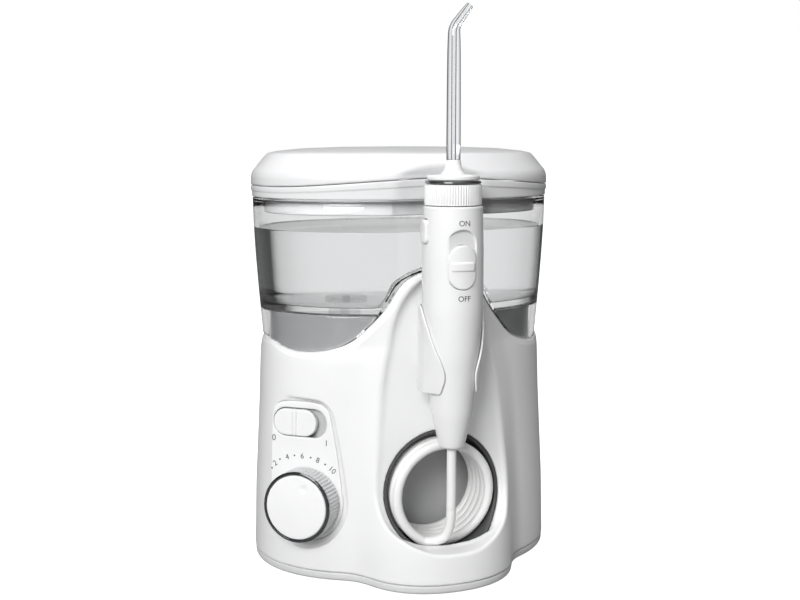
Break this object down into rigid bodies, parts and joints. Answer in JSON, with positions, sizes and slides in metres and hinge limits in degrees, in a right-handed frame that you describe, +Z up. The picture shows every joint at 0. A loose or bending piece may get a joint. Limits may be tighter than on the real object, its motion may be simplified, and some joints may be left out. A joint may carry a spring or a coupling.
{
  "type": "countertop water flosser",
  "caption": "Countertop oral irrigator: pump base with coiled hose well, lift-off clear water tank with hinged lid, clipped pen-shaped handle with jet tip, pressure dial and power switch.",
  "frame": {"origin": "centre of the base outline and of the whole bounding box, on the table", "axes": "+Z up, +Y towards the back, +X to the right of a person facing the front; the hose well and the handle face -Y"},
  "size_m": [0.1529, 0.1606, 0.2571],
  "materials": {
    "white_abs": "satin gloss",
    "soft_white": "satin",
    "grey_plastic": "satin",
    "dark_plastic": "satin",
    "foot_rubber": "matte",
    "seal_rubber": "matte",
    "clear_plastic": "polished, clear",
    "chrome_trim": "polished",
    "steel_part": "brushed",
    "brass_part": "turned",
    "board": "printed circuit board",
    "gear_acetal": "moulded",
    "hose_vinyl": "satin"
  },
  "bodies": {
    "base": {"base_housing": "white_abs", "base_plate": "soft_white", "foot_front_left": "foot_rubber", "foot_front_right": "foot_rubber", "foot_back_left": "foot_rubber", "foot_back_right": "foot_rubber", "screw_front_left": "steel_part", "screw_front_right": "steel_part", "screw_back_left": "steel_part", "screw_back_right": "steel_part", "control_panel": "white_abs", "power_switch": "dark_plastic", "pressure_regulator": "grey_plastic", "hose_well": "grey_plastic", "hose": "hose_vinyl", "hose_nipple": "soft_white", "handle_cradle": "white_abs", "inlet_seal": "seal_rubber", "pump_motor": "steel_part", "pump_chassis": "grey_plastic", "pump_cylinder": "soft_white", "pump_head": "dark_plastic", "inlet_tube": "clear_plastic", "outlet_tube": "clear_plastic", "feed_tube": "clear_plastic", "circuit_board": "board", "cord_grommet": "dark_plastic", "power_cord": "hose_vinyl", "power_plug": "white_abs", "plug_pin_left": "steel_part", "plug_pin_right": "steel_part", "cord_tie": "dark_plastic"},
    "dial": {"knob_skirt": "soft_white", "knob_ring": "chrome_trim", "knob_face": "white_abs", "knob_spindle": "brass_part"},
    "power_slider": {"power_slider": "white_abs"},
    "handle": {"handle_shell": "white_abs", "handle_valve": "soft_white", "handle_tube": "clear_plastic", "hose_ferrule": "brass_part"},
    "pause_slider": {"pause_slider": "grey_plastic"},
    "eject_button": {"eject_button": "white_abs"},
    "collar": {"tip_collar": "white_abs", "collar_ring": "chrome_trim"},
    "jet_tip": {"tip_base": "white_abs", "tip_shaft": "clear_plastic"},
    "reservoir": {"reservoir": "clear_plastic", "reservoir_valve": "seal_rubber"},
    "lid_tray": {"lid_tray": "white_abs", "lid_hinge_pin": "steel_part"},
    "lid_cover": {"lid_cover": "white_abs"},
    "gear": {"crank_gear": "gear_acetal"},
    "pinion": {"motor_pinion": "brass_part"},
    "piston": {"pump_piston": "gear_acetal"}
  },
  "joints": [
    {"name": "dial_turn", "type": "hinge", "parent": "base", "child": "dial", "pos_m": [-0.0569, -0.0299, 0.0355], "axis": [-0.6487, -0.7595, 0.0488], "range_deg": [-45, 75]},
    {"name": "power_slide", "type": "slide", "parent": "base", "child": "power_slider", "axis": [0.7604, -0.6494, 0], "range_m": [0, 0.0042]},
    {"name": "handle_lift", "type": "slide", "parent": "base", "child": "handle", "axis": [0, 0, 1], "range_m": [0, 0.08]},
    {"name": "pause_slide", "type": "slide", "parent": "handle", "child": "pause_slider", "axis": [0, 0, 1], "range_m": [0, 0.006]},
    {"name": "eject_press", "type": "slide", "parent": "handle", "child": "eject_button", "axis": [1, 0, 0], "range_m": [0, 0.001]},
    {"name": "collar_spin", "type": "hinge", "parent": "handle", "child": "collar", "pos_m": [-0.0005, -0.0655, 0.175], "axis": [0, 0, 1], "continuous": true},
    {"name": "tip_pull", "type": "slide", "parent": "collar", "child": "jet_tip", "axis": [0, 0, 1], "range_m": [0, 0.03]},
    {"name": "reservoir_lift", "type": "slide", "parent": "base", "child": "reservoir", "axis": [0, 0, 1], "range_m": [0, 0.06]},
    {"name": "lid_lift", "type": "slide", "parent": "reservoir", "child": "lid_tray", "axis": [0, 0, 1], "range_m": [0, 0.04]},
    {"name": "lid_open", "type": "hinge", "parent": "lid_tray", "child": "lid_cover", "pos_m": [0, 0.0546, 0.1784], "axis": [-1, 0, 0], "range_deg": [0, 95]},
    {"name": "gear_spin", "type": "hinge", "parent": "base", "child": "gear", "pos_m": [0, 0.02, 0.058], "axis": [1, 0, 0], "continuous": true},
    {"name": "pinion_spin", "type": "hinge", "parent": "base", "child": "pinion", "pos_m": [0, 0.02, 0.032], "axis": [1, 0, 0], "continuous": true},
    {"name": "piston_slide", "type": "slide", "parent": "base", "child": "piston", "axis": [0, 0, 1], "range_m": [-0.004, 0.004]}
  ],
  "couplings": [
    {"joint": "pinion_spin", "follows": "gear_spin", "ratio": -3.3333}
  ]
}
